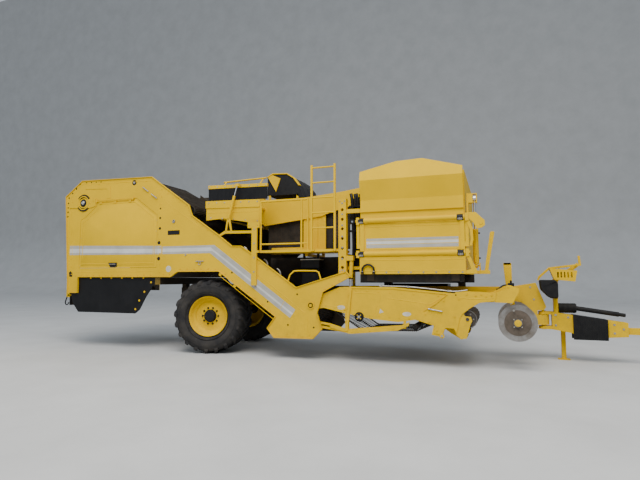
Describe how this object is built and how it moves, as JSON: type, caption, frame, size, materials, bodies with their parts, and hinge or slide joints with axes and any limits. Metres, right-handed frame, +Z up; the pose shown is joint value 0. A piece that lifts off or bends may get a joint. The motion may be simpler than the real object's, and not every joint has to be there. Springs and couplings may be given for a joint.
{
  "type": "trailed potato harvester",
  "caption": "Trailed potato harvester with lifted intake channel, web channel, rear cleaning housing, sorting platform and side-folding transfer bunker.",
  "frame": {"origin": "on the ground under the middle of the machine's box", "axes": "+X forward along the machine, +Y to its left, +Z up"},
  "size_m": [12.8998, 3.2402, 4.02],
  "materials": {
    "painted_yellow": "glossy machine enamel, lightly dusty",
    "painted_dark": "satin black enamel",
    "web_steel": "rods rubbed bare, brown dust between them",
    "belt_rubber": "ribbed conveyor rubber",
    "sheet_rubber": "smooth hanging sheet",
    "roller_rubber": "ribbed rubber lagging",
    "hose_rubber": "hydraulic hose cover",
    "tyre_rubber": "dusty tread rubber",
    "bare_steel": "ground bare by soil",
    "rod_chrome": "polished piston rod",
    "black_plastic": "moulded, fine grain",
    "guard_plastic": "black cone and olive tube"
  },
  "bodies": {
    "chassis": {"main_frame": "painted_yellow", "axle_beam": "painted_yellow", "frame_posts": "painted_yellow", "channel_right": "painted_yellow", "channel_left": "painted_yellow", "rear_side_right": "painted_yellow", "rear_side_left": "painted_yellow", "rear_cover": "painted_yellow", "left_channel": "painted_yellow", "second_web": "web_steel", "haulm_web": "web_steel", "separator_belt": "belt_rubber", "lift_belt": "belt_rubber", "rear_skirt": "sheet_rubber", "rear_bar": "painted_dark", "bunker_body": "painted_yellow", "bunker_belt": "belt_rubber", "column": "painted_yellow", "sorting_table": "painted_yellow", "sorting_belt": "belt_rubber", "cleaner_frame": "painted_yellow", "hood": "black_plastic", "platform": "painted_yellow", "railing": "painted_yellow", "oil_tank": "painted_dark", "lift_hose": "hose_rubber"},
    "door": {"side_door": "painted_yellow"},
    "lower_wall": {"boom_lower": "painted_yellow"},
    "upper_wall": {"boom_upper": "painted_yellow"},
    "wall_barrel": {"boom_barrel": "painted_yellow"},
    "wall_rod": {"boom_rod": "rod_chrome"},
    "steps": {"ladder": "painted_yellow"},
    "knuckle_r": {"knuckle_right": "painted_yellow"},
    "knuckle_l": {"knuckle_left": "painted_yellow"},
    "track_rod": {"tie_rod": "bare_steel"},
    "wheel_r": {"tyre_right": "tyre_rubber", "rim_right": "painted_yellow"},
    "wheel_l": {"tyre_left": "tyre_rubber", "rim_left": "painted_yellow"},
    "intake": {"intake_frame": "painted_yellow", "first_web": "web_steel", "disc_beam": "painted_yellow", "shares": "painted_yellow"},
    "front_roller": {"haulm_roller": "roller_rubber"},
    "disc_r": {"coulter_right": "bare_steel"},
    "disc_m": {"coulter_middle": "bare_steel"},
    "disc_l": {"coulter_left": "bare_steel"},
    "intake_barrel": {"lift_barrel": "painted_yellow"},
    "intake_rod": {"lift_rod": "rod_chrome"},
    "towbar": {"drawbar": "painted_yellow", "pto_shaft": "guard_plastic", "step_pad": "black_plastic", "hose_rack": "painted_yellow", "guard_box": "black_plastic"},
    "stand": {"parking_stand": "painted_yellow"}
  },
  "joints": [
    {"name": "steer_right", "type": "hinge", "parent": "chassis", "child": "knuckle_r", "pos_m": [-2.33, -0.62, 0.8], "axis": [0, 0, 1], "range_deg": [-24, 0]},
    {"name": "steer_left", "type": "hinge", "parent": "chassis", "child": "knuckle_l", "pos_m": [-2.33, 0.62, 0.8], "axis": [0, 0, 1], "range_deg": [-24, 0]},
    {"name": "track_rod_slide", "type": "slide", "parent": "chassis", "child": "track_rod", "axis": [0, 1, 0], "range_m": [0, 0.106]},
    {"name": "wheel_right_spin", "type": "hinge", "parent": "knuckle_r", "child": "wheel_r", "pos_m": [-2.23436, -1.06995, 0.8], "axis": [-0.2079, 0.9781, 0], "continuous": true},
    {"name": "wheel_left_spin", "type": "hinge", "parent": "knuckle_l", "child": "wheel_l", "pos_m": [-2.42564, 1.06995, 0.8], "axis": [-0.2079, 0.9781, 0], "continuous": true},
    {"name": "lower_wall_fold", "type": "hinge", "parent": "chassis", "child": "lower_wall", "pos_m": [2.25, -1.48, 2.08], "axis": [1, 0, 0], "range_deg": [0, 60]},
    {"name": "upper_wall_fold", "type": "hinge", "parent": "lower_wall", "child": "upper_wall", "pos_m": [2.25, -1.48, 2.72], "axis": [1, 0, 0], "range_deg": [0, 90]},
    {"name": "wall_barrel_tilt", "type": "hinge", "parent": "chassis", "child": "wall_barrel", "pos_m": [3.395, -1.15, 1.85], "axis": [1, 0, 0], "range_deg": [0, 46]},
    {"name": "wall_rod_slide", "type": "slide", "parent": "wall_barrel", "child": "wall_rod", "axis": [0, -0.1454, 0.9894], "range_m": [0, 0.18]},
    {"name": "door_lift", "type": "hinge", "parent": "chassis", "child": "door", "pos_m": [-4.7, -1.52, 3.47], "axis": [-1, 0, 0], "range_deg": [0, 80]},
    {"name": "ladder_fold", "type": "hinge", "parent": "chassis", "child": "steps", "pos_m": [0.528, -1.52, 2.175], "axis": [1, 0, 0], "range_deg": [0, 175]},
    {"name": "intake_lift", "type": "hinge", "parent": "chassis", "child": "intake", "pos_m": [0.258, -0.73, 1.084], "axis": [0, 1, 0], "range_deg": [0, 7]},
    {"name": "intake_barrel_tilt", "type": "hinge", "parent": "chassis", "child": "intake_barrel", "pos_m": [1.085, -1.412, 2], "axis": [0, 1, 0], "range_deg": [-4, 0]},
    {"name": "intake_rod_slide", "type": "slide", "parent": "intake_barrel", "child": "intake_rod", "axis": [-0.0665, 0, -0.9978], "range_m": [0, 0.1]},
    {"name": "roller_spin", "type": "hinge", "parent": "intake", "child": "front_roller", "pos_m": [3.231, -0.73, 0.89], "axis": [0, 1, 0], "continuous": true},
    {"name": "disc_right_spin", "type": "hinge", "parent": "intake", "child": "disc_r", "pos_m": [4.062, -1.35, 0.843], "axis": [0, 1, 0], "continuous": true},
    {"name": "disc_middle_spin", "type": "hinge", "parent": "intake", "child": "disc_m", "pos_m": [4.062, -0.725, 0.843], "axis": [0, 1, 0], "continuous": true},
    {"name": "disc_left_spin", "type": "hinge", "parent": "intake", "child": "disc_l", "pos_m": [4.062, -0.1, 0.843], "axis": [0, 1, 0], "continuous": true},
    {"name": "drawbar_swing", "type": "hinge", "parent": "chassis", "child": "towbar", "pos_m": [4.6, 0.205, 0.8], "axis": [0, 0, 1], "range_deg": [-15, 15]},
    {"name": "stand_fold", "type": "hinge", "parent": "towbar", "child": "stand", "pos_m": [4.96, 0.435, 0.74], "axis": [0, -1, 0], "range_deg": [0, 90]}
  ],
  "couplings": [
    {"joint": "steer_left", "follows": "steer_right", "ratio": 1},
    {"joint": "track_rod_slide", "follows": "steer_right", "m_per_rad": -0.2482},
    {"joint": "wall_barrel_tilt", "follows": "lower_wall_fold", "ratio": 0.7353},
    {"joint": "wall_rod_slide", "follows": "lower_wall_fold", "m_per_rad": 0.16205},
    {"joint": "intake_barrel_tilt", "follows": "intake_lift", "ratio": -0.4582},
    {"joint": "intake_rod_slide", "follows": "intake_lift", "m_per_rad": 0.794}
  ]
}
